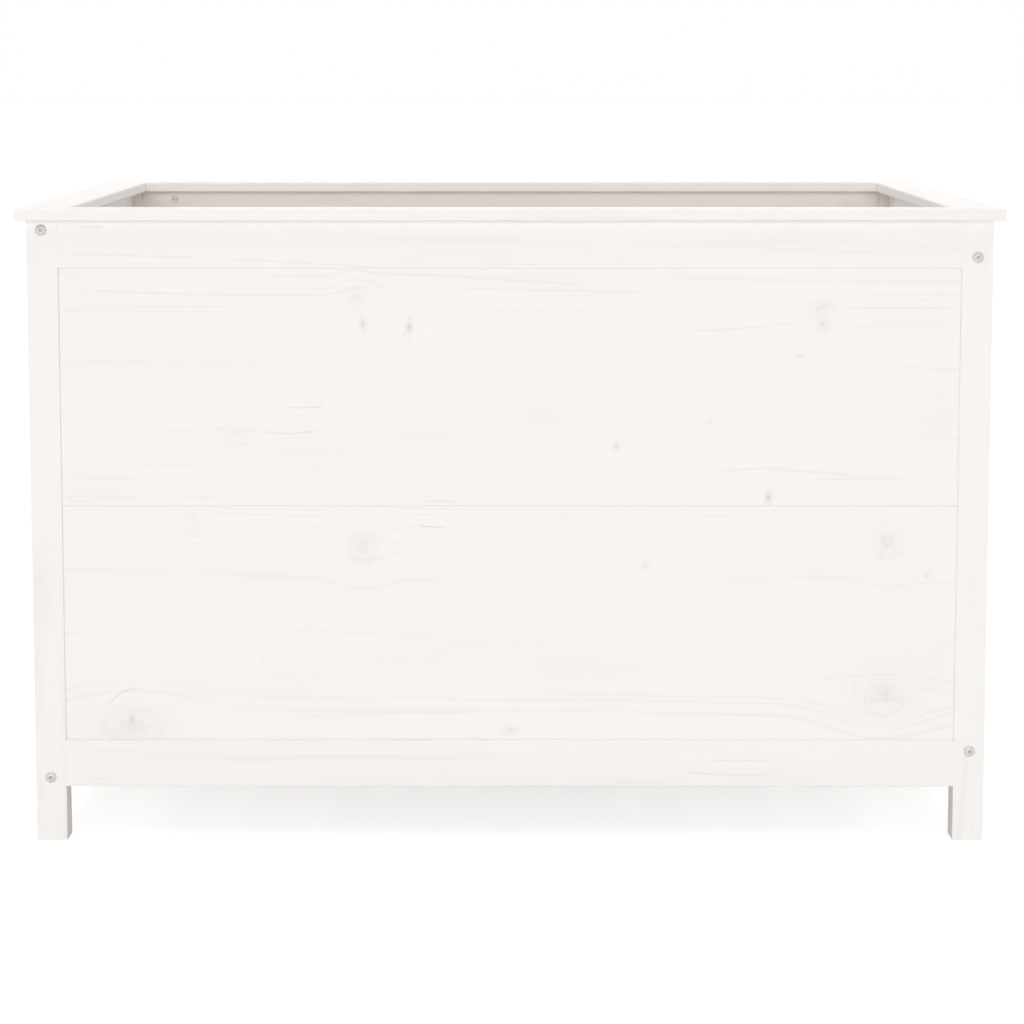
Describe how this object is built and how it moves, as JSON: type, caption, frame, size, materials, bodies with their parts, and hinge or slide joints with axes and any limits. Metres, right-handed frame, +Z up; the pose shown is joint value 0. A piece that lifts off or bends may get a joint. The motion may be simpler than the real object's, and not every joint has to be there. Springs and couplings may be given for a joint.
{
  "type": "planter box",
  "caption": "Rectangular white-painted wooden planter box on four short square legs, with framed board walls, a flat mitred rim and a slatted floor.",
  "frame": {"origin": "centre of the footprint on the ground, at the underside of the feet", "axes": "+X to the right along the long side, -Y towards the viewer, +Z up"},
  "size_m": [1.195, 0.825, 0.78],
  "materials": {
    "leg_wood": "white water-based paint on planed pine, grain upright",
    "rail_wood": "white water-based paint on planed pine, grain along the rail",
    "board_wood": "white water-based paint on planed pine, grain and knots showing faintly",
    "rim_wood": "white water-based paint on planed pine",
    "floor_wood": "thin white paint on sawn pine",
    "bolt_steel": "zinc-plated, dull",
    "screw_steel": "zinc-plated"
  },
  "bodies": {
    "root": {"leg_front_left": "leg_wood", "leg_front_right": "leg_wood", "leg_back_right": "leg_wood", "leg_back_left": "leg_wood", "bottom_rail_front": "rail_wood", "bottom_rail_right": "rail_wood", "bottom_rail_back": "rail_wood", "bottom_rail_left": "rail_wood", "top_rail_front": "rail_wood", "top_rail_right": "rail_wood", "top_rail_back": "rail_wood", "top_rail_left": "rail_wood", "lower_board_front": "board_wood", "lower_board_right": "board_wood", "lower_board_back": "board_wood", "lower_board_left": "board_wood", "upper_board_front": "board_wood", "upper_board_right": "board_wood", "upper_board_back": "board_wood", "upper_board_left": "board_wood", "rim_board_front": "rim_wood", "rim_board_right": "rim_wood", "rim_board_back": "rim_wood", "rim_board_left": "rim_wood", "floor_cleat_front": "floor_wood", "floor_cleat_right": "floor_wood", "floor_cleat_back": "floor_wood", "floor_cleat_left": "floor_wood", "wall_bolts_front": "bolt_steel", "wall_bolts_right": "bolt_steel", "wall_bolts_back": "bolt_steel", "wall_bolts_left": "bolt_steel", "barrel_nuts_front": "bolt_steel", "barrel_nuts_right": "bolt_steel", "barrel_nuts_back": "bolt_steel", "barrel_nuts_left": "bolt_steel", "floor_bearer": "floor_wood", "floor_slat_1": "floor_wood", "floor_slat_2": "floor_wood", "floor_slat_3": "floor_wood", "floor_slat_4": "floor_wood", "floor_slat_5": "floor_wood", "floor_slat_6": "floor_wood", "floor_slat_7": "floor_wood", "floor_slat_8": "floor_wood", "floor_slat_9": "floor_wood", "floor_slat_10": "floor_wood", "floor_slat_11": "floor_wood", "rim_screws": "screw_steel", "cleat_screws": "screw_steel", "slat_screws": "screw_steel", "bearer_screws": "screw_steel"}
  },
  "joints": []
}
